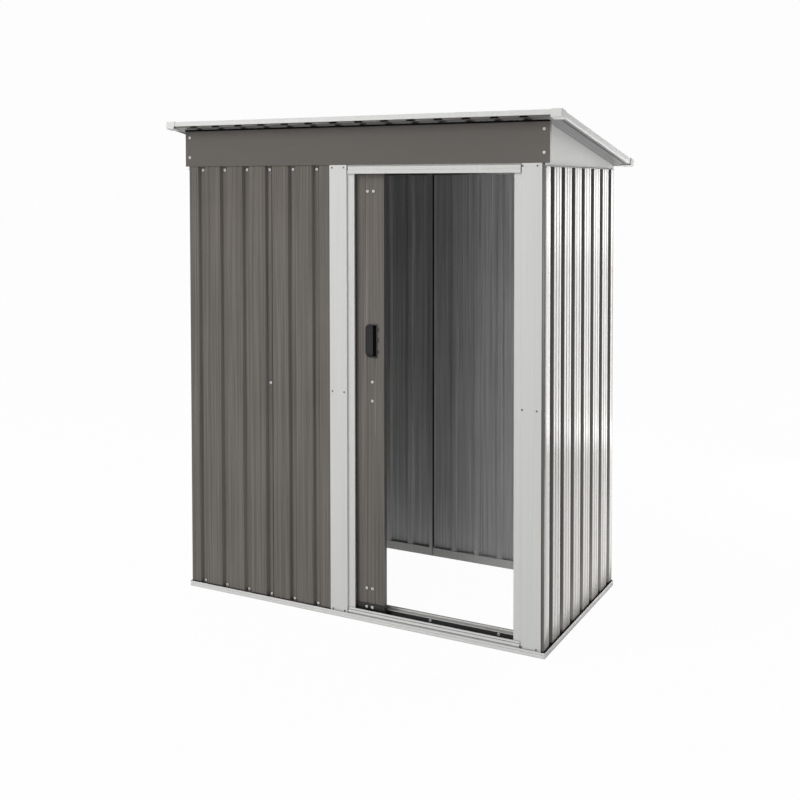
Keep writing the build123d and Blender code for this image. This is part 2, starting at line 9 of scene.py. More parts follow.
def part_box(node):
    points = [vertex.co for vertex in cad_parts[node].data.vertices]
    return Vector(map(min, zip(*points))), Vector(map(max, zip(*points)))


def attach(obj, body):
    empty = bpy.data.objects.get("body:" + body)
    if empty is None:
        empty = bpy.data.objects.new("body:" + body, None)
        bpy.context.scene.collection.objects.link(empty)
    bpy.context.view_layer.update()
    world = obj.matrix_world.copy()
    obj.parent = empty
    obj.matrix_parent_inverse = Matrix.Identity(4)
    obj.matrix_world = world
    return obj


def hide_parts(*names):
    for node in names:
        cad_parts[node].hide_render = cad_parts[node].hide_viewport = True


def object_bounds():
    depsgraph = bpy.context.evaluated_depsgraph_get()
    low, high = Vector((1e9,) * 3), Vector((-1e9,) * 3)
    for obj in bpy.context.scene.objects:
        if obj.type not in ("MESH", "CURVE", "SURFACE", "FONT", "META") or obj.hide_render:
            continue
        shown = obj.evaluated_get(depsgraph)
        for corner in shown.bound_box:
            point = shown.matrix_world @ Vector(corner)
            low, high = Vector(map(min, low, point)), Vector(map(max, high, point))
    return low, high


# Metal tool shed in metres: +X to the right along the front wall, +Y from the door to the rear wall, +Z up
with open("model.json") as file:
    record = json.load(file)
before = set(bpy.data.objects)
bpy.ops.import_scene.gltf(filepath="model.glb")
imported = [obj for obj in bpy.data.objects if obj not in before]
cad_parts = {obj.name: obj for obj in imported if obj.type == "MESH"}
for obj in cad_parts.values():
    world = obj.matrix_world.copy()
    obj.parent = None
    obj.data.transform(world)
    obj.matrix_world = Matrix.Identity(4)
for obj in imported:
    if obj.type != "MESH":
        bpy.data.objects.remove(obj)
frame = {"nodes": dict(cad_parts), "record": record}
cad_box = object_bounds()

# Camera, fitted to the photograph's edges
IMAGE_SIZE = 800
CAMERA_PLACE = (2.0259, -3.7189, 1.5829)
CAMERA_YAW = 26.771
CAMERA_PITCH = 1.95
FOCAL_PIXELS = 1078.7
OPTICAL_CENTRE = (434.2, 224.1)
SENSOR_WIDTH = 36.0

# Roll-formed sheet
SHEET = 0.0008
RIB_PITCH = 0.1055
RIB_OPENING = 0.034
RIB_FLOOR = 0.020
RIB_DEPTH = 0.011
LAP_RELIEF = 0.0025
LAP_FLARE = 0.005
CREASE_WIDTH = 0.008
CREASE_DEPTH = 0.0012
CREASE_SPACING = 0.028
CORNER_RETURN = 0.020
SIDE_RIB_SHIFT = 0.010
RIBS_ACROSS = 14
FRONT_RIBS = 6
SIDE_RIBS = 7
FRONT_SHEETS = 2
REAR_SHEETS = 4
SIDE_SHEETS = 2
ROOF_SHEETS = 3
BEND_REACH = 0.0017
BEND_STEPS = 4
WAVE_ROWS = 22
WAVE_HEIGHT = 0.0003
WAVE_ACROSS = 0.30
WAVE_ALONG = 0.55
INNER_FACE_LEAN = 0.1

# Roof slope
ROOF_FALL = 0.150
ROOF_RUN = 0.816
FRONT_OVERHANG = 0.040
ROOF_PAN_DROP = 0.0252
ROOF_SHEET_START = 0.0088

# Roof edge: folds of the trims, measured down from the roof's top, below which the trims take painted shade;
# foam filler and sealing bead, black as painted shade
TRIM_STEP_DROP = 0.0205
TRIM_FLANGE_DROP = 0.0255
TOOTH_FRONT = 0.0024
TOOTH_REAR = 0.0059
TOOTH_TOP = -0.0202
TOOTH_FOOT = -0.0262
STRIP_HEIGHT = 0.005
STRIP_THICKNESS = 0.003
BEAD_WIDTH = 0.0035
BEAD_THICKNESS = 0.0014
BEAD_FROM_EDGE = 0.018
BEAD_FRONT = 0.066
BEAD_REAR = 0.062

# Folded pieces; angles in degrees
FOLD_ROUND = 0.0006
FOLD_STEPS = 2
FOLD_ANGLE = 25
FLAT_ANGLE = 0.5
WELD_REACH = 1e-5
SMOOTH_ANGLE = 38

# Screws and their washers; angles in degrees
HEAD_RADIUS = 0.0030
HEAD_HEIGHT = 0.0024
HEAD_SHOULDER_SHARE = 0.86
HEAD_SHOULDER_HEIGHT_SHARE = 0.8
WASHER_RADIUS = 0.0052
WASHER_THICKNESS = 0.0012
SCREW_SIDES = 12
SLOT_DEPTH = 0.0009
SLOT_SHARE = 0.62
SLOT_ARM_SHARE = 0.9
SLOT_WAIST_SHARE = 0.36
SLOT_WAIST_FROM = 30
SLOT_WAIST_TO = 60
TIP_RADIUS = 0.0018
TIP_LENGTH = 0.004
TIP_SIDES = 6
SEAT_TOLERANCE = 1e-6

# Screw places
TOP_SCREW_HEIGHT = 1.650
MIDDLE_SCREW_HEIGHT = 0.840
BOTTOM_SCREW_HEIGHT = 0.0265
POST_SCREW_COLUMNS = (-0.086, -0.036, 0.664, 0.717)
POST_SCREW_HEIGHTS = (1.655, 0.834, 0.0245)
FASCIA_SCREW_COLUMN = 0.741
FASCIA_SCREW_HEIGHTS = (1.777, 1.699)
TRACK_SCREW_START = -0.503
TRACK_SCREW_PITCH = 0.266
TRACK_SCREW_COUNT = 5
TRACK_SCREW_HEIGHT = 0.032
ROOF_SCREW_MARGIN = 0.060
DOOR_SCREW_PLACES = (
    (0.0524, 1.569), (0.0766, 1.569), (0.071, 0.8765), (0.071, 0.807),
    (0.046, 0.116), (0.070, 0.116), (0.046, 0.0477), (0.070, 0.0477),
)

# Door track, the liner in its groove and the guide strips on its ledge
TRACK_WIDTH = 0.0311
LINER_TOP = 0.036
GROOVE_TOLERANCE = 0.0005
LEDGE_WIDTH = 0.026
LEDGE_TOP = 0.038
GUIDE_WIDTH = 0.002
GUIDE_ROUND = 0.0004
FRONT_GUIDE_GAP = 0.0002
FRONT_GUIDE_HEIGHT = 0.002
REAR_GUIDE_INSET = 0.003
REAR_GUIDE_HEIGHT = 0.0045

# Door runner, handle and the handle's clip ends, which are given as heights and lengths
RUNNER_TOP = 0.060
RUNNER_THICKNESS = 0.0016
RUNNER_ROUND = 0.0005
GRIP_RIM_DEPTH = 0.004
GRIP_TOLERANCE = 0.001
CLIP_COLUMN = 0.0963
CLIP_WIDTH = 0.0035
CLIP_THICKNESS = 0.0012
CLIP_ROUND = 0.0004
CLIP_ENDS = ((1.068, 0.016), (1.030, 0.018), (0.987, 0.012))

# Sealing tape in the rear wall's laps and sealant lines on the sill, black as painted shade lines
TAPE_WIDTH = 0.006
TAPE_THICKNESS = 0.0012
TAPE_FOOT = 0.040
SEAM_HEIGHT = 0.0013
SEAM_PROUD = 0.0003
SILL_STEP = 0.003
UPPER_SEAM_FOOT = 0.0325
LOWER_SEAM_FOOT = 0.0225

# Studio: light levels where 1 is white, and the way in which the surround is dim
AMBIENT_SHARE = 0.6
SURROUND_LEVEL = 0.98
DIM_LEVEL = 0.12
DIM_WAY = (0.5, -0.85, 0.0)
DIM_FROM = 0.75
DIM_TO = -0.5
FLOOR_BOUNCE = 0.32
FLOOR_LEVEL = 0.97
FLOOR_REACH = 40
FLOOR_DROP = 0.0005


def linear(colour):
    """A hex colour as linear red, green, blue and alpha."""
    parts = [int(colour[place:place + 2], 16) / 255 for place in (1, 3, 5)]
    return [p / 12.92 if p <= 0.04045 else ((p + 0.055) / 1.055) ** 2.4 for p in parts] + [1.0]


def per_mm(size):
    """Pattern scale that gives features of about this size in millimetres."""
    return 1000.0 / size


def add_node(tree, kind, inputs, **settings):
    """A shader node with its settings and its inputs, which are values or other nodes' outputs."""
    node = tree.nodes.new(kind)
    for name, value in settings.items():
        setattr(node, name, value)
    for socket, value in inputs.items():
        if isinstance(value, bpy.types.NodeSocket):
            tree.links.new(value, node.inputs[socket])
        else:
            node.inputs[socket].default_value = value
    return node


def new_material(name, **values):
    """A material with its shader's plain values set, its node tree, its shader and its coordinates."""
    material = bpy.data.materials.new(name)
    material.use_nodes = True
    tree = material.node_tree
    shader = tree.nodes["Principled BSDF"]
    for socket, value in values.items():
        shader.inputs[socket.replace("_", " ")].default_value = value
    place = add_node(tree, "ShaderNodeTexCoord", {}).outputs["Object"]
    return material, tree, shader, place


def coated_steel(
    name, colour, cloudy_colour, smooth, rough, along, slackness, fold_shade=0.45, folded=0.30, open_air=0.85
):
    """Coil-coated or passivated steel sheet: an even factory coat, slightly cloudy over a hand's width, with
    faint streaks along the rollers' way and a fine orange peel that breaks up its reflections."""
    material, tree, shader, place = new_material(name, IOR=1.4)
    clouds = add_node(tree, "ShaderNodeTexNoise", {"Vector": place, "Scale": per_mm(420), "Detail": 3.0})
    drawn_out = add_node(tree, "ShaderNodeVectorMath", {0: place, 1: along}, operation="MULTIPLY")
    streaks = add_node(
        tree, "ShaderNodeTexNoise",
        {"Vector": drawn_out.outputs["Vector"], "Scale": per_mm(7), "Detail": 2.0},
    )
    clear_streaks = add_node(
        tree, "ShaderNodeMapRange", {"Value": streaks.outputs["Fac"], "From Min": 0.3, "From Max": 0.7}
    )
    mottle = add_node(
        tree, "ShaderNodeMix", {0: 0.55, 2: clouds.outputs["Fac"], 3: clear_streaks.outputs["Result"]},
        data_type="FLOAT",
    )
    tint = add_node(
        tree, "ShaderNodeMix", {0: mottle.outputs[0], 6: linear(colour), 7: linear(cloudy_colour)},
        data_type="RGBA",
    )
    # Painted shade in tight folds and laps: darkest where a corner is closed in, none in the open air
    fold = add_node(tree, "ShaderNodeAmbientOcclusion", {"Distance": 0.010}, samples=6)
    fold_shade_share = add_node(
        tree, "ShaderNodeMapRange",
        {"Value": fold.outputs["AO"], "From Min": folded, "From Max": open_air,
         "To Min": fold_shade, "To Max": 1.0},
    )
    fold_shaded = add_node(
        tree, "ShaderNodeVectorMath", {0: tint.outputs[2], 3: fold_shade_share.outputs["Result"]}, operation="SCALE"
    )
    tree.links.new(fold_shaded.outputs["Vector"], shader.inputs["Base Color"])
    gloss = add_node(
        tree, "ShaderNodeMapRange", {"Value": mottle.outputs[0], "To Min": smooth, "To Max": rough}
    )
    tree.links.new(gloss.outputs["Result"], shader.inputs["Roughness"])
    # The real orange peel is about 1 mm across; it is drawn at 3 mm so that it shows
    peel = add_node(tree, "ShaderNodeTexNoise", {"Vector": place, "Scale": per_mm(3), "Detail": 1.0})
    peel_bump = add_node(
        tree, "ShaderNodeBump", {"Height": peel.outputs["Fac"], "Strength": 0.12, "Distance": 0.0002}
    )
    # Slack in the thin sheet, drawn out along the rollers like the streaks
    slack = add_node(
        tree, "ShaderNodeTexNoise",
        {"Vector": drawn_out.outputs["Vector"], "Scale": per_mm(40), "Detail": 1.0},
    )
    slack_bump = add_node(
        tree, "ShaderNodeBump",
        {"Height": slack.outputs["Fac"], "Strength": slackness, "Distance": 0.003,
         "Normal": peel_bump.outputs["Normal"]},
    )
    streak_bump = add_node(
        tree, "ShaderNodeBump",
        {"Height": streaks.outputs["Fac"], "Strength": slackness, "Distance": 0.0006,
         "Normal": slack_bump.outputs["Normal"]},
    )
    tree.links.new(streak_bump.outputs["Normal"], shader.inputs["Normal"])
    return material


def galvanised_steel():
    """Hot-dip galvanised steel: bare zinc whose spangle shows as pale and dark flakes."""
    material, tree, shader, place = new_material("galvanised_steel", Metallic=1.0)
    spangle = add_node(tree, "ShaderNodeTexVoronoi", {"Vector": place, "Scale": per_mm(14)})
    flake = add_node(tree, "ShaderNodeSeparateColor", {"Color": spangle.outputs["Color"]})
    tint = add_node(
        tree, "ShaderNodeMix", {0: flake.outputs["Red"], 6: linear("#A9ADB0"), 7: linear("#C3C6C8")},
        data_type="RGBA",
    )
    tree.links.new(tint.outputs[2], shader.inputs["Base Color"])
    gloss = add_node(
        tree, "ShaderNodeMapRange", {"Value": flake.outputs["Green"], "To Min": 0.34, "To Max": 0.5}
    )
    tree.links.new(gloss.outputs["Result"], shader.inputs["Roughness"])
    return material


def plated_zinc():
    """Bright zinc plating on screws: a fine satin metal with faint smears."""
    material, tree, shader, place = new_material("zinc_plating", Metallic=1.0)
    smears = add_node(tree, "ShaderNodeTexNoise", {"Vector": place, "Scale": per_mm(4), "Detail": 3.0})
    tint = add_node(
        tree, "ShaderNodeMix", {0: smears.outputs["Fac"], 6: linear("#DADCDD"), 7: linear("#BFC2C4")},
        data_type="RGBA",
    )
    tree.links.new(tint.outputs[2], shader.inputs["Base Color"])
    gloss = add_node(
        tree, "ShaderNodeMapRange", {"Value": smears.outputs["Fac"], "To Min": 0.22, "To Max": 0.38}
    )
    tree.links.new(gloss.outputs["Result"], shader.inputs["Roughness"])
    return material


def moulded_plastic(name, colour, worn_colour, roughness, shine=0.5):
    """Moulded plastic, foam or rubber: one colour through and through, with a fine grain."""
    material, tree, shader, place = new_material(
        name, IOR=1.49, Roughness=roughness, Specular_IOR_Level=shine
    )
    clouds = add_node(tree, "ShaderNodeTexNoise", {"Vector": place, "Scale": per_mm(25), "Detail": 3.0})
    tint = add_node(
        tree, "ShaderNodeMix", {0: clouds.outputs["Fac"], 6: linear(colour), 7: linear(worn_colour)},
        data_type="RGBA",
    )
    tree.links.new(tint.outputs[2], shader.inputs["Base Color"])
    # The real grain is about 0.2 mm; it is drawn at 0.8 mm so that it shows close up
    grain = add_node(tree, "ShaderNodeTexVoronoi", {"Vector": place, "Scale": per_mm(0.8)})
    bump = add_node(
        tree, "ShaderNodeBump", {"Height": grain.outputs["Distance"], "Strength": 0.15, "Distance": 0.0002}
    )
    tree.links.new(bump.outputs["Normal"], shader.inputs["Normal"])
    return material


# Ways in which the sheets ran through the rollers; the streaks are drawn out along axes near 0
UPRIGHT = (1.0, 1.0, 0.012)
DOWN_SLOPE = (1.0, 0.012, 0.012)
ACROSS = (0.012, 1.0, 1.0)

# Glossy warm grey on the ribbed walls and the door: bright upright streaks, and dark lines of painted shade
# in the folds
GREY_PAINT = coated_steel(
    "grey_coated_steel", "#746F6A", "#4C4843", 0.18, 0.26, UPRIGHT, 0.5,
    fold_shade=0.05, folded=0.60, open_air=0.95,
)
# The same grey on flat sheet, which came out plain and even
FLAT_GREY_PAINT = coated_steel("grey_coated_flat_steel", "#5F5B57", "#5C5854", 0.28, 0.30, ACROSS, 0.0)
# The same grey on the roof, with its streaks down the slope
ROOF_PAINT = coated_steel("grey_coated_roof_steel", "#746F6A", "#4C4843", 0.18, 0.26, DOWN_SLOPE, 0.5)
# Thin grey primer on the inside of the walls: pale and cloudy, with strong upright streaks
BACK_COAT = coated_steel("grey_back_coat", "#D4D4D4", "#8E8E8E", 0.30, 0.42, UPRIGHT, 0.9)
# Primer under the roof: a dull mid grey, darker than the walls' back coat as painted shade under the roof
SHADED_ROOF_BACK_COAT = coated_steel("shaded_grey_roof_back_coat", "#848484", "#727272", 0.36, 0.48, DOWN_SLOPE, 0.5)
# Semi-matt white on posts, header, gables, trims and the other floor rails: soft, without sharp reflections
WHITE_PAINT = coated_steel(
    "white_coated_steel", "#D0D0CE", "#C8C8C7", 0.52, 0.60, UPRIGHT, 0.03, fold_shade=0.7
)
# A slightly paler white on the sill and the front floor rail
RAIL_PAINT = coated_steel(
    "white_coated_rail_steel", "#DADAD8", "#D2D2D1", 0.46, 0.56, ACROSS, 0.05, fold_shade=0.6
)
# Bare zinc on the upper track, the top rails and the door's channels: a flaky metal sheen
ZINC = galvanised_steel()
# Bright plated screws: small points of light
SCREW_ZINC = plated_zinc()
# Dark screws in the door posts, whose dark grey paints the shade of their recesses: dull grey dots on the
# white
SHADED_POST_ZINC = coated_steel("shaded_passivated_zinc", "#6A6A6B", "#5C5C5D", 0.40, 0.52, UPRIGHT, 0.1)
# Corner caps of the roof: matt off-white
WHITE_PLASTIC = moulded_plastic("white_moulded_plastic", "#D2D2D0", "#CBCBCA", 0.6)
# Handle, glides, runner and clips: black with a soft sheen
BLACK_PLASTIC = moulded_plastic("black_moulded_plastic", "#1A1A1B", "#151516", 0.5)
# Deep half of the handle's cup: black without any sheen, painted as the shade deep in the cup
SHADED_CUP_BLACK = moulded_plastic("shaded_cup_black_plastic", "#060606", "#040404", 0.9, shine=0.05)
# Sliding liner in the track's groove: a dark grey band
GROOVE_LINER = moulded_plastic("dark_grey_nylon", "#38383A", "#2E2E30", 0.6)
# Foam filler under the roof's front edge, whose dull black paints the shade in the gaps between the ribs
BLACK_FOAM_SHADE = moulded_plastic("black_foam_shade", "#0C0C0C", "#080808", 0.95, shine=0.05)
# Bottom track: a dull, warm grey without flakes
DULL_ZINC = coated_steel("passivated_zinc_steel", "#B4B2AF", "#9C9A97", 0.40, 0.52, ACROSS, 0.2)
# Butyl tape and sealant: thin black lines of painted shade in the laps, gaps and seams, with a slight shine
SHADE_LINE_TAPE = moulded_plastic("black_shade_line_tape", "#0A0A0A", "#070707", 0.7)
# Washers and guide strips: the brightest white on the shed, which on the guide strips also paints the
# highlights along the track's lips
NYLON_AND_HIGHLIGHT = moulded_plastic("white_nylon_and_highlight", "#F0F0EE", "#E8E8E6", 0.4)


def place_piece(bm, name, materials, body, slot, *replaced):
    """Turns a finished mesh into a piece that rides on a body, in place of the CAD nodes that are named."""
    mesh = bpy.data.meshes.new(name)
    bm.to_mesh(mesh)
    bm.free()
    mesh.polygons.foreach_set("use_smooth", [True] * len(mesh.polygons))
    mesh.set_sharp_from_angle(angle=math.radians(SMOOTH_ANGLE))
    for material in materials:
        mesh.materials.append(material)
    piece = bpy.data.objects.new(name, mesh)
    bpy.context.scene.collection.objects.link(piece)
    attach(piece, body)
    if replaced:
        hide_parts(*replaced)


def add_bar(bm, low, high, matrix=Matrix()):
    """A straight bar between two corners, which may then be laid on the roof's slope."""
    low, high = Vector(low), Vector(high)
    bar = bmesh.ops.create_cube(bm, size=1.0)["verts"]
    bmesh.ops.scale(bm, verts=bar, vec=high - low)
    bmesh.ops.translate(bm, verts=bar, vec=(low + high) / 2)
    bmesh.ops.transform(bm, verts=bar, matrix=matrix)
    return bar


def round_edges(bm, reach):
    """Rounds all edges of the bars made so far."""
    bmesh.ops.bevel(
        bm, geom=bm.edges[:], offset=reach, segments=2, profile=0.5, affect="EDGES", material=-1
    )


def rib_places(count):
    """Rib centres, evenly spaced about the middle of a wall."""
    return [(index - (count - 1) / 2) * RIB_PITCH for index in range(count)]


def rib(centre):
    """One rib's outline: down one flank, along its floor and up the other flank."""
    return [
        (centre - RIB_OPENING / 2, 0),
        (centre - RIB_FLOOR / 2, RIB_DEPTH),
        (centre + RIB_FLOOR / 2, RIB_DEPTH),
        (centre + RIB_OPENING / 2, 0),
    ]


def creases(middle):
    """Two shallow creases that stiffen the flat between two ribs."""
    path = []
    for centre in (middle - CREASE_SPACING / 2, middle + CREASE_SPACING / 2):
        path += [(centre - CREASE_WIDTH / 2, 0), (centre, CREASE_DEPTH), (centre + CREASE_WIDTH / 2, 0)]
    return path


def ribbed(start, centres, end):
    """Section of a ribbed sheet: its start, its whole ribs with creases between them, and its end."""
    flat = RIB_PITCH - RIB_OPENING
    path = list(start)
    for centre in centres:
        rim = centre - RIB_OPENING / 2
        if rim - path[-1][0] > flat - LAP_RELIEF:
            path += creases(rim - flat / 2)
        path += rib(centre)
    if end[0][0] - path[-1][0] > flat - LAP_RELIEF:
        path += creases(path[-1][0] + flat / 2)
    return path + list(end)


def lap_places(centres, sheets):
    """The ribs in which neighbouring sheets lap."""
    return [centres[len(centres) * number // sheets] for number in range(1, sheets)]


def lapped(start, centres, end, sheets, flare):
    """Sections of the sheets that make one surface, each lapping the one before it in a rib."""
    laps = lap_places(centres, sheets)
    under = RIB_DEPTH + SHEET
    over_end = RIB_FLOOR / 2 - LAP_RELIEF
    # The sheet behind springs away from the lap a little at its free edge
    starts = [start]
    for lap in laps:
        starts.append([(lap - over_end, under + flare), (lap + RIB_FLOOR / 2, under), rib(lap)[-1]])
    ends = [rib(lap)[:2] + [(lap + over_end, RIB_DEPTH)] for lap in laps] + [end]
    sections = []
    for first, last in zip(starts, ends):
        own_ribs = [centre for centre in centres if first[-1][0] < centre < last[0][0]]
        sections.append(ribbed(first, own_ribs, last))
    return sections


def roll_formed(path, length, seed):
    """A roll-formed sheet standing on its section, with rounded bends, wavy flats and a thickness."""
    bm = bmesh.new()
    foot = [bm.verts.new((along, depth, 0)) for along, depth in path]
    runs = [bm.edges.new(pair) for pair in zip(foot, foot[1:])]
    raised = bmesh.ops.extrude_edge_only(bm, edges=runs)["geom"]
    top = [item for item in raised if isinstance(item, bmesh.types.BMVert)]
    bmesh.ops.translate(bm, verts=top, vec=(0, 0, length))
    bends = [edge for edge in bm.edges if len(edge.link_faces) == 2]
    bmesh.ops.bevel(
        bm, geom=bends, offset=BEND_REACH, offset_type="OFFSET", segments=BEND_STEPS, profile=0.5,
        affect="EDGES", material=-1, clamp_overlap=True,
    )
    upright = [edge for edge in bm.edges if abs(edge.verts[0].co.z - edge.verts[1].co.z) > length / 2]
    bmesh.ops.subdivide_edges(bm, edges=upright, cuts=WAVE_ROWS, use_grid_fill=True)
    for vert in bm.verts:
        along, _, height = vert.co
        vert.co.y += WAVE_HEIGHT * noise.noise((along / WAVE_ACROSS, seed, height / WAVE_ALONG))
    bm.normal_update()
    if sum(face.normal.y * face.calc_area() for face in bm.faces) > 0:
        bmesh.ops.reverse_faces(bm, faces=bm.faces[:])
    bmesh.ops.solidify(bm, geom=bm.faces[:], thickness=SHEET)
    bm.normal_update()
    for face in bm.faces:
        face.material_index = 1 if face.normal.y > INNER_FACE_LEAN else 0
    return bm


def sheets(surface, sections, length, matrix, wave_seed, paints):
    """The roll-formed sheets of one wall or of the roof, each in place of its CAD node."""
    for number, path in enumerate(sections, 1):
        node = f"{surface}_sheet_{number}"
        bm = roll_formed(path, length, wave_seed)
        bmesh.ops.transform(bm, matrix=matrix, verts=bm.verts[:])
        place_piece(bm, "ribbed_" + node, paints, "shed", "grey_paint", node)


# Ribbed walls and roof, from the CAD nodes' own boxes
WALL_PAINTS = [GREY_PAINT, BACK_COAT]
# A roof section is drawn along its underside, so its first paint is the back coat
ROOF_PAINTS = [SHADED_ROOF_BACK_COAT, ROOF_PAINT]
front_low, front_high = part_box("front_wall_sheet_1")
rear_low, rear_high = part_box("rear_wall_sheet_1")
left_low, left_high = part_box("left_wall_sheet_1")
right_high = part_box("right_wall_sheet_1")[1]
front_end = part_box("front_wall_sheet_2")[1].x
roof_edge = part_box("roof_sheet_3")[1].x
sheet_end = rear_high.x
base_y = (front_low.y + rear_high.y) / 2
side_end = left_high.y - base_y
wall_foot = rear_low.z
back_ribs = rib_places(RIBS_ACROSS)
front_ribs = back_ribs[:FRONT_RIBS]
side_ribs = {"left": [], "right": []}
for place in rib_places(SIDE_RIBS):
    side_ribs["left"].append(place - SIDE_RIB_SHIFT)
    side_ribs["right"].append(place + SIDE_RIB_SHIFT)

front_sections = lapped([(-sheet_end, 0)], front_ribs, [(front_end, 0)], FRONT_SHEETS, LAP_FLARE)
front_matrix = Matrix.Translation((0, front_low.y, wall_foot))
front_length = front_high.z - wall_foot
sheets("front_wall", front_sections, front_length, front_matrix, wave_seed=1, paints=WALL_PAINTS)
rear_matrix = Matrix.Translation((0, rear_high.y, wall_foot)) @ Matrix.Rotation(math.pi, 4, "Z")
rear_sections = lapped([(-sheet_end, 0)], back_ribs, [(sheet_end, 0)], REAR_SHEETS, LAP_FLARE)
rear_length = rear_high.z - wall_foot
sheets("rear_wall", rear_sections, rear_length, rear_matrix, wave_seed=2, paints=WALL_PAINTS)
side_start = [(-side_end, CORNER_RETURN), (-side_end, 0)]
side_finish = [(side_end, 0), (side_end, CORNER_RETURN)]
side_length = left_high.z - wall_foot
side_matrices = {}
for side, x, turn, wave_seed in (("left", left_low.x, -90, 3), ("right", right_high.x, 90, 4)):
    side_turn = Matrix.Rotation(math.radians(turn), 4, "Z")
    side_matrices[side] = Matrix.Translation((x, base_y, wall_foot)) @ side_turn
    side_sections = lapped(side_start, side_ribs[side], side_finish, SIDE_SHEETS, LAP_FLARE)
    sheets(side + "_wall", side_sections, side_length, side_matrices[side], wave_seed, WALL_PAINTS)

roof_slope = math.atan2(ROOF_FALL, ROOF_RUN)
roof_length = math.hypot(ROOF_FALL, ROOF_RUN)
roof_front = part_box("front_floor_rail")[0].y - FRONT_OVERHANG
roof_frame = Matrix.Translation((0, roof_front, cad_box[1].z)) @ Matrix.Rotation(-roof_slope, 4, "X")
# The section's depth points up off the roof, and its length runs down the slope
lay_down = Matrix(((1, 0, 0, 0), (0, 0, 1, ROOF_SHEET_START), (0, 1, 0, -ROOF_PAN_DROP), (0, 0, 0, 1)))
roof_sections = lapped([(-roof_edge, 0)], back_ribs, [(roof_edge, 0)], ROOF_SHEETS, flare=0)
roof_sheet_length = roof_length - 2 * ROOF_SHEET_START
sheets("roof", roof_sections, roof_sheet_length, roof_frame @ lay_down, wave_seed=5, paints=ROOF_PAINTS)


def dress(node, material):
    """Gives a CAD node its material and slightly rounded folds."""
    piece = frame["nodes"][node]
    piece.data.materials.clear()
    piece.data.materials.append(material)
    weld = piece.modifiers.new("weld", "WELD")
    weld.merge_threshold = WELD_REACH
    flats = piece.modifiers.new("flats", "DECIMATE")
    flats.decimate_type = "DISSOLVE"
    flats.angle_limit = math.radians(FLAT_ANGLE)
    rounded = piece.modifiers.new("rounded_folds", "BEVEL")
    rounded.width = FOLD_ROUND
    rounded.segments = FOLD_STEPS
    rounded.limit_method = "ANGLE"
    rounded.angle_limit = math.radians(FOLD_ANGLE)


DRESSED = {
    "white_paint": WHITE_PAINT,
    "grey_paint": GREY_PAINT,
    "galvanised_steel": ZINC,
    "white_plastic": WHITE_PLASTIC,
    "black_plastic": BLACK_PLASTIC,
}
for subpart in frame["record"]["subparts"]:
    if "sheet_" not in subpart["node"]:
        dress(subpart["node"], DRESSED[subpart["material_slot"]])
OTHER_PAINTS = {"front_fascia": FLAT_GREY_PAINT, "door_sill": RAIL_PAINT, "front_floor_rail": RAIL_PAINT}
for node, paint in OTHER_PAINTS.items():
    paints = frame["nodes"][node].data.materials
    paints.clear()
    paints.append(paint)

# Painted shade inside the roof's trims: the front one's lower fold is given the darker fascia grey and the
# side flanges the darker roof back coat, for the shade under the roof's edge
to_roof = roof_frame.inverted()
for name, drop, shade_paint in (
    ("roof_front_trim", TRIM_STEP_DROP, FLAT_GREY_PAINT),
    ("roof_left_trim", TRIM_FLANGE_DROP, SHADED_ROOF_BACK_COAT),
    ("roof_right_trim", TRIM_FLANGE_DROP, SHADED_ROOF_BACK_COAT),
):
    trim = frame["nodes"][name].data
    trim.materials.append(shade_paint)
    for face in trim.polygons:
        if (to_roof @ face.center).z < -drop:
            face.material_index = 1

# The track is dull zinc, with a dark sliding liner in the groove that the door's glides run in
track = frame["nodes"]["bottom_door_track"].data
track.materials.clear()
track.materials.append(DULL_ZINC)
track.materials.append(GROOVE_LINER)
track_low, track_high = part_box("bottom_door_track")
groove_end = track_low.y + TRACK_WIDTH
for face in track.polygons:
    in_groove = track_low.y + GROOVE_TOLERANCE < face.center.y < groove_end + GROOVE_TOLERANCE
    if in_groove and face.center.z < LINER_TOP:
        face.material_index = 1

# Painted shade: the deep half of the grip's cup is given a plain black without any sheen, for the shade deep
# in the cup
grip = frame["nodes"]["door_handle"].data
grip.materials.append(SHADED_CUP_BLACK)
grip_low, grip_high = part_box("door_handle")
grip_middle = (grip_low.x + grip_high.x) / 2
for face in grip.polygons:
    leftmost = min(grip.vertices[corner].co.x for corner in face.vertices)
    if face.center.y > grip_low.y + GRIP_RIM_DEPTH and leftmost > grip_middle - GRIP_TOLERANCE:
        face.material_index = 1


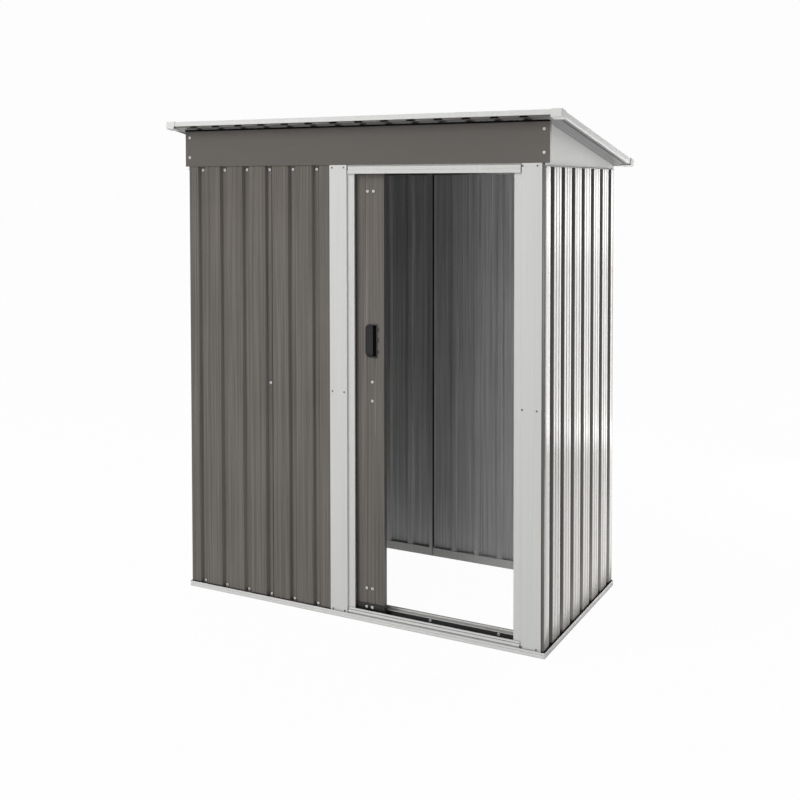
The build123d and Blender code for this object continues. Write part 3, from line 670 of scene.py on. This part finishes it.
def screw_shape(washer_radius):
    """A cross-head screw on its washer, standing on the XY plane, with its tip below."""
    bm = bmesh.new()
    first = math.pi / SCREW_SIDES
    seat = WASHER_THICKNESS if washer_radius > HEAD_RADIUS else 0
    outline = [
        (washer_radius, 0),
        (washer_radius, seat),
        (HEAD_RADIUS, seat),
        (HEAD_RADIUS, seat + HEAD_HEIGHT / 3),
        (HEAD_RADIUS * HEAD_SHOULDER_SHARE, seat + HEAD_HEIGHT * HEAD_SHOULDER_HEIGHT_SHARE),
        (HEAD_RADIUS * SLOT_SHARE, seat + HEAD_HEIGHT),
    ]
    if not seat:
        outline = outline[2:]
    rim = [bm.verts.new((r * math.cos(first), r * math.sin(first), z)) for r, z in outline]
    runs = [bm.edges.new(pair) for pair in zip(rim, rim[1:])]
    bmesh.ops.spin(
        bm, geom=rim + runs, cent=(0, 0, 0), axis=(0, 0, 1), angle=2 * math.pi, steps=SCREW_SIDES,
        use_merge=True,
    )
    bm.normal_update()
    bmesh.ops.recalc_face_normals(bm, faces=bm.faces[:])
    for face in bm.faces:
        face.material_index = 1 if face.calc_center_median().z < seat + SEAT_TOLERANCE else 0
    open_edges = [edge for edge in bm.edges if edge.is_boundary]
    top_edges = [edge for edge in open_edges if edge.verts[0].co.z > seat + HEAD_HEIGHT / 2]
    slot = bmesh.ops.contextual_create(bm, geom=top_edges)["faces"][0]
    slot.material_index = 0
    sunk = bmesh.ops.extrude_discrete_faces(bm, faces=[slot])["faces"][0]
    for vert in sunk.verts:
        angle = math.degrees(math.atan2(vert.co.y, vert.co.x)) % 90
        share = SLOT_WAIST_SHARE if SLOT_WAIST_FROM < angle < SLOT_WAIST_TO else SLOT_ARM_SHARE
        vert.co = (vert.co.x * share, vert.co.y * share, vert.co.z - SLOT_DEPTH)
    bmesh.ops.create_cone(
        bm, cap_ends=False, segments=TIP_SIDES, radius1=0, radius2=TIP_RADIUS, depth=TIP_LENGTH,
        matrix=Matrix.Translation((0, 0, -TIP_LENGTH / 2)),
    )
    mesh = bpy.data.meshes.new("screw_shape")
    bm.to_mesh(mesh)
    bm.free()
    return mesh


WASHER_SCREW = screw_shape(WASHER_RADIUS)
PLAIN_SCREW = screw_shape(HEAD_RADIUS)


def screws(name, shape, body, slot, places, metal=SCREW_ZINC):
    """One piece with a screw at each place, which is a point and the way that its head faces."""
    bm = bmesh.new()
    for point, facing in places:
        count = len(bm.verts)
        bm.from_mesh(shape)
        bm.verts.ensure_lookup_table()
        matrix = Matrix.Translation(point) @ Vector(facing).to_track_quat("Z", "Y").to_matrix().to_4x4()
        bmesh.ops.transform(bm, matrix=matrix, verts=bm.verts[count:])
    place_piece(bm, name, [metal, NYLON_AND_HIGHLIGHT], body, slot)


FRONTWARD = (0, -1, 0)
REARWARD = (0, 1, 0)
RIGHTWARD = (1, 0, 0)
LEFTWARD = (-1, 0, 0)


def wall_screws(wall, matrix, ribs, sheet_count, facing):
    """A wall's screws: at the top and bottom of each rib, and halfway up each lap."""
    spots = [(centre, height) for centre in ribs for height in (TOP_SCREW_HEIGHT, BOTTOM_SCREW_HEIGHT)]
    spots += [(lap, MIDDLE_SCREW_HEIGHT) for lap in lap_places(ribs, sheet_count)]
    places = [(matrix @ Vector((along, RIB_DEPTH, height - wall_foot)), facing) for along, height in spots]
    screws(wall + "_wall_screws", WASHER_SCREW, "shed", "galvanised_steel", places)


wall_screws("front", front_matrix, front_ribs, FRONT_SHEETS, FRONTWARD)
wall_screws("rear", rear_matrix, back_ribs, REAR_SHEETS, REARWARD)
wall_screws("left", side_matrices["left"], side_ribs["left"], SIDE_SHEETS, LEFTWARD)
wall_screws("right", side_matrices["right"], side_ribs["right"], SIDE_SHEETS, RIGHTWARD)

# Door posts: small screws without washers, in pairs
post_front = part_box("left_door_post")[0].y
post_places = []
for x in POST_SCREW_COLUMNS:
    for height in POST_SCREW_HEIGHTS:
        post_places.append(((x, post_front, height), FRONTWARD))
screws("door_post_screws", PLAIN_SCREW, "shed", "galvanised_steel", post_places, SHADED_POST_ZINC)

# Fascia: two at each end
fascia_low, fascia_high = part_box("front_fascia")
fascia_places = []
for x in (-FASCIA_SCREW_COLUMN, FASCIA_SCREW_COLUMN):
    for height in FASCIA_SCREW_HEIGHTS:
        fascia_places.append(((x, fascia_low.y, height), FRONTWARD))
screws("fascia_screws", WASHER_SCREW, "shed", "galvanised_steel", fascia_places)

# Door track: a row along the face of its ledge
track_places = []
for index in range(TRACK_SCREW_COUNT):
    x = TRACK_SCREW_START + index * TRACK_SCREW_PITCH
    track_places.append(((x, groove_end, TRACK_SCREW_HEIGHT), FRONTWARD))
screws("door_track_screws", WASHER_SCREW, "shed", "galvanised_steel", track_places)

# Roof: one on each rib near the front and rear edges
rib_top = RIB_DEPTH + SHEET - ROOF_PAN_DROP
roof_up = roof_frame.to_3x3() @ Vector((0, 0, 1))
roof_places = []
for centre in back_ribs:
    for down_slope in (ROOF_SCREW_MARGIN, roof_length - ROOF_SCREW_MARGIN):
        roof_places.append((roof_frame @ Vector((centre, down_slope, rib_top)), roof_up))
screws("roof_screws", WASHER_SCREW, "shed", "galvanised_steel", roof_places)

# Door: pairs at both ends of the top and bottom, and two below the handle, alike on both stiles
door_low, door_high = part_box("door_sheet")
door_middle = (door_low.x + door_high.x) / 2
door_places = []
for x, height in DOOR_SCREW_PLACES:
    seat = door_low.y - RUNNER_THICKNESS if height < RUNNER_TOP else door_low.y
    for place in (x, 2 * door_middle - x):
        door_places.append(((place, seat, height), FRONTWARD))
screws("door_screws", WASHER_SCREW, "door", "galvanised_steel", door_places)

# Door runner: a black strip along the foot of the door, which the lowest screws hold
bm = bmesh.new()
add_bar(
    bm, (door_low.x, door_low.y - RUNNER_THICKNESS, door_low.z), (door_high.x, door_low.y, RUNNER_TOP)
)
round_edges(bm, RUNNER_ROUND)
place_piece(bm, "door_runner", [BLACK_PLASTIC], "door", "black_plastic")

# Sealing tape squeezed out along the laps of the rear wall, inside, whose black paints the shade in the
# laps' gaps
tape_rear = rear_high.y - RIB_DEPTH - SHEET
bm = bmesh.new()
for lap in lap_places(back_ribs, REAR_SHEETS):
    tape_x = RIB_FLOOR / 2 - lap
    add_bar(
        bm, (tape_x - TAPE_WIDTH / 2, tape_rear - TAPE_THICKNESS, TAPE_FOOT),
        (tape_x + TAPE_WIDTH / 2, tape_rear, rear_high.z),
    )
place_piece(bm, "rear_lap_shade_tape", [SHADE_LINE_TAPE], "shed", "black_plastic")

# Foam filler under the roof's front edge, black as painted shade: a tooth in the mouth of each rib, and a
# strip on the fascia's top
bm = bmesh.new()
for centre in back_ribs:
    tooth = add_bar(
        bm, (centre - RIB_OPENING / 2, TOOTH_FRONT, TOOTH_FOOT),
        (centre + RIB_OPENING / 2, TOOTH_REAR, TOOTH_TOP),
    )
    for vert in tooth:
        if vert.co.z > (TOOTH_FOOT + TOOTH_TOP) / 2:
            vert.co.x = centre + (vert.co.x - centre) * RIB_FLOOR / RIB_OPENING
    bmesh.ops.transform(bm, verts=tooth, matrix=roof_frame)
add_bar(
    bm, (fascia_low.x, fascia_low.y - STRIP_THICKNESS, fascia_high.z - STRIP_HEIGHT),
    (fascia_high.x, fascia_low.y, fascia_high.z),
)
place_piece(bm, "eaves_filler_shade", [BLACK_FOAM_SHADE], "shed", "black_plastic")

# Sealing bead along the inner edge of the side trims, under the roof sheet, whose black paints the shade in
# the gap there
bm = bmesh.new()
for side in (-1, 1):
    inner = side * (cad_box[1].x - BEAD_FROM_EDGE)
    ends = sorted((inner, inner - side * BEAD_WIDTH))
    add_bar(
        bm, (ends[0], BEAD_FRONT, -ROOF_PAN_DROP - BEAD_THICKNESS),
        (ends[1], roof_length - BEAD_REAR, -ROOF_PAN_DROP), roof_frame,
    )
place_piece(bm, "roof_edge_shade_line", [SHADE_LINE_TAPE], "shed", "black_plastic")

# Dark sealant lines between the folded layers of the sill and the floor rail, which paint the shade in their
# gaps
sill_low, sill_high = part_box("door_sill")
bm = bmesh.new()
for height, y in ((UPPER_SEAM_FOOT, sill_low.y + SILL_STEP), (LOWER_SEAM_FOOT, sill_low.y)):
    add_bar(bm, (sill_low.x, y - SEAM_PROUD, height), (sill_high.x, y, height + SEAM_HEIGHT))
place_piece(bm, "sill_shade_lines", [SHADE_LINE_TAPE], "shed", "black_plastic")

# White nylon guide strips on the track's ledge, whose bright white paints the highlights along its lips
front_guide = groove_end + FRONT_GUIDE_GAP
rear_guide = groove_end + LEDGE_WIDTH - REAR_GUIDE_INSET
bm = bmesh.new()
for y, height in ((front_guide, FRONT_GUIDE_HEIGHT), (rear_guide, REAR_GUIDE_HEIGHT)):
    add_bar(bm, (track_low.x, y, LEDGE_TOP), (track_high.x, y + GUIDE_WIDTH, LEDGE_TOP + height))
round_edges(bm, GUIDE_ROUND)
place_piece(bm, "track_guides_highlight", [NYLON_AND_HIGHLIGHT], "shed", "white_plastic")

# Clip ends of the handle, showing through three slots beside it
clip_reach = Vector((CLIP_WIDTH, CLIP_THICKNESS, 0)) / 2
bm = bmesh.new()
for height, length in CLIP_ENDS:
    foot = Vector((CLIP_COLUMN, door_low.y, height - length / 2))
    head = Vector((CLIP_COLUMN, door_low.y, height + length / 2))
    add_bar(bm, foot - clip_reach, head + clip_reach)
round_edges(bm, CLIP_ROUND)
place_piece(bm, "handle_clips", [BLACK_PLASTIC], "door", "black_plastic")


def soft_box(name, place, target, width, height, power):
    """A rectangular studio light aimed at a point."""
    lamp = bpy.data.lights.new(name, "AREA")
    lamp.shape = "RECTANGLE"
    lamp.size = width
    lamp.size_y = height
    lamp.energy = power
    light = bpy.data.objects.new(name, lamp)
    light.location = place
    light.visible_camera = False
    light.rotation_euler = (Vector(target) - Vector(place)).to_track_quat("-Z", "Y").to_euler()
    bpy.context.scene.collection.objects.link(light)


# Soft boxes, each with its place, the point it is aimed at, its width and height, and its power in watts
soft_box("key_light", (-5.0, -6.4, 5.8), (0, 0, 0.9), 3.6, 3.6, 410)
soft_box("front_light", (-0.1, -5.0, 1.0), (0.3, 0, 0.8), 1.4, 1.5, 28)
soft_box("top_light", (-0.5, -2.5, 5.0), (0, 0, 0.9), 3.0, 3.0, 48)
soft_box("side_light", (1.75, 2.6, 0.85), (0.745, -0.1, 0.85), 1.0, 1.7, 26)
soft_box("rear_light", (3.0, 5.3, 2.3), (0.75, 0.0, 1.5), 2.8, 2.6, 46)
soft_box("floor_panel", (1.4, 1.5, 0.003), (1.4, 1.5, 1.0), 1.2, 3.6, 32)


def seen_rays(tree):
    """1 for rays that show the floor to the eye, straight or mirrored, and 0 for its light on things."""
    rays = add_node(tree, "ShaderNodeLightPath", {}).outputs
    shown = add_node(
        tree, "ShaderNodeMath", {0: rays["Is Camera Ray"], 1: rays["Is Glossy Ray"]}, operation="MAXIMUM"
    )
    return add_node(
        tree, "ShaderNodeMath", {0: shown.outputs[0], 1: rays["Is Transmission Ray"]}, operation="MAXIMUM"
    ).outputs[0]


# White surround
world = bpy.data.worlds.new("white_surround")
bpy.context.scene.world = world
world.use_nodes = True
tree = world.node_tree
rays = add_node(tree, "ShaderNodeLightPath", {}).outputs
# The surround is dimmer towards the unlit front right of the studio, which keeps the ribs' near flanks dark
way = add_node(tree, "ShaderNodeTexCoord", {}).outputs["Generated"]
front_right = add_node(
    tree, "ShaderNodeVectorMath", {0: way, 1: DIM_WAY}, operation="DOT_PRODUCT"
)
graded = add_node(
    tree, "ShaderNodeMapRange",
    {"Value": front_right.outputs["Value"], "From Min": DIM_FROM, "From Max": DIM_TO,
     "To Min": DIM_LEVEL, "To Max": 1.0},
)
ambient = add_node(
    tree, "ShaderNodeMath", {0: graded.outputs["Result"], 1: AMBIENT_SHARE}, operation="MULTIPLY"
)
lit = add_node(
    tree, "ShaderNodeMix", {0: rays["Is Glossy Ray"], 2: ambient.outputs[0], 3: graded.outputs["Result"]},
    data_type="FLOAT",
)
straight = add_node(
    tree, "ShaderNodeMath", {0: rays["Is Camera Ray"], 1: rays["Is Transmission Ray"]}, operation="MAXIMUM"
)
level = add_node(
    tree, "ShaderNodeMix", {0: straight.outputs[0], 2: lit.outputs[0], 3: SURROUND_LEVEL},
    data_type="FLOAT",
)
background = tree.nodes["Background"]
background.inputs["Color"].default_value = (1, 1, 1, 1)
tree.links.new(level.outputs[0], background.inputs["Strength"])

# Pale floor, which keeps the shed's shadow
floor_mesh = bpy.data.meshes.new("floor")
bm = bmesh.new()
floor_place = Matrix.Translation((0, 0, -FLOOR_DROP))
bmesh.ops.create_grid(bm, x_segments=1, y_segments=1, size=FLOOR_REACH, matrix=floor_place)
bm.to_mesh(floor_mesh)
bm.free()
floor = bpy.data.objects.new("floor", floor_mesh)
bpy.context.scene.collection.objects.link(floor)
floor_material = bpy.data.materials.new("pale_floor")
floor_material.use_nodes = True
tree = floor_material.node_tree
tree.nodes.remove(tree.nodes["Principled BSDF"])
matt = add_node(tree, "ShaderNodeBsdfDiffuse", {"Color": linear("#E8E8E8")})
glow = add_node(tree, "ShaderNodeEmission", {"Color": (1, 1, 1, 1), "Strength": 1.0})
share = add_node(
    tree, "ShaderNodeMapRange",
    {"Value": seen_rays(tree), "To Min": FLOOR_BOUNCE, "To Max": FLOOR_LEVEL},
)
mixed = add_node(
    tree, "ShaderNodeMixShader", {0: share.outputs["Result"], 1: matt.outputs[0], 2: glow.outputs[0]}
)
tree.links.new(mixed.outputs[0], tree.nodes["Material Output"].inputs["Surface"])
floor_mesh.materials.append(floor_material)

# Camera
camera_data = bpy.data.cameras.new("camera")
camera_data.sensor_width = SENSOR_WIDTH
camera_data.lens = FOCAL_PIXELS / IMAGE_SIZE * SENSOR_WIDTH
camera_data.shift_x = 0.5 - OPTICAL_CENTRE[0] / IMAGE_SIZE
camera_data.shift_y = OPTICAL_CENTRE[1] / IMAGE_SIZE - 0.5
camera = bpy.data.objects.new("camera", camera_data)
camera.location = CAMERA_PLACE
camera.rotation_euler = (math.radians(90 - CAMERA_PITCH), 0, math.radians(CAMERA_YAW))
bpy.context.scene.collection.objects.link(camera)
bpy.context.scene.camera = camera
bpy.context.scene.view_settings.view_transform = "Standard"
